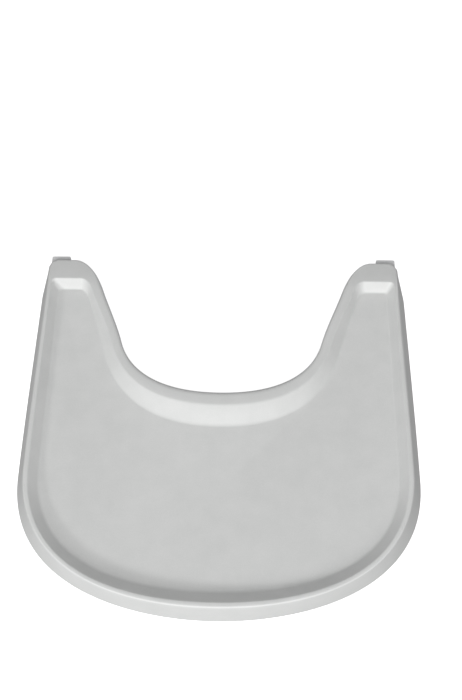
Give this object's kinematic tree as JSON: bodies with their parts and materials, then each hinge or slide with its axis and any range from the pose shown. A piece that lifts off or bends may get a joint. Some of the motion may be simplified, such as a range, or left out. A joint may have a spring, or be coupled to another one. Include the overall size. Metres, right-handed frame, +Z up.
{
  "type": "clip-on high-chair tray",
  "caption": "White moulded U-shaped feeding tray with raised rim, shallow basin and belly cut-out, clipped to armrest bars by sprung latch levers under its arms.",
  "frame": {"origin": "On the surface the rim rests on, under the middle of the whole outline.", "axes": "+X across the tray, +Y from the front rim towards the ends of the arms, +Z up."},
  "size_m": [0.44, 0.425, 0.038],
  "materials": {
    "tray_white": "satin moulded polypropylene",
    "bracket_plastic": "matt moulded polyamide",
    "lever_plastic": "satin moulded acetal",
    "pin_steel": "turned stainless steel",
    "spring_steel": "drawn spring steel",
    "screw_steel": "zinc-plated steel",
    "pad_rubber": "matt thermoplastic rubber"
  },
  "bodies": {
    "tray": {"tray_shell": "tray_white", "bracket_left": "bracket_plastic", "bracket_right": "bracket_plastic", "pivot_pin_left": "pin_steel", "pivot_pin_right": "pin_steel", "pin_clip_left": "spring_steel", "pin_clip_right": "spring_steel", "latch_spring_left": "spring_steel", "latch_spring_right": "spring_steel", "bracket_screws_left": "screw_steel", "bracket_screws_right": "screw_steel", "roof_pad_left": "pad_rubber", "roof_pad_right": "pad_rubber", "stop_bumper_left": "pad_rubber", "stop_bumper_right": "pad_rubber"},
    "latch_left": {"latch_lever_left": "lever_plastic"},
    "latch_right": {"latch_lever_right": "lever_plastic"}
  },
  "joints": [
    {"name": "release_left", "type": "hinge", "parent": "tray", "child": "latch_left", "pos_m": [-0.195, 0.0725, 0.0125], "axis": [0, 0, 1], "range_deg": [0, 3.2], "stiffness_Nm_per_rad": 2.2, "springref_deg": -4.58, "deforming": ["latch_spring_left"]},
    {"name": "release_right", "type": "hinge", "parent": "tray", "child": "latch_right", "pos_m": [0.195, 0.0725, 0.0125], "axis": [0, 0, -1], "range_deg": [0, 3.2], "stiffness_Nm_per_rad": 2.2, "springref_deg": -4.58, "deforming": ["latch_spring_right"]}
  ]
}
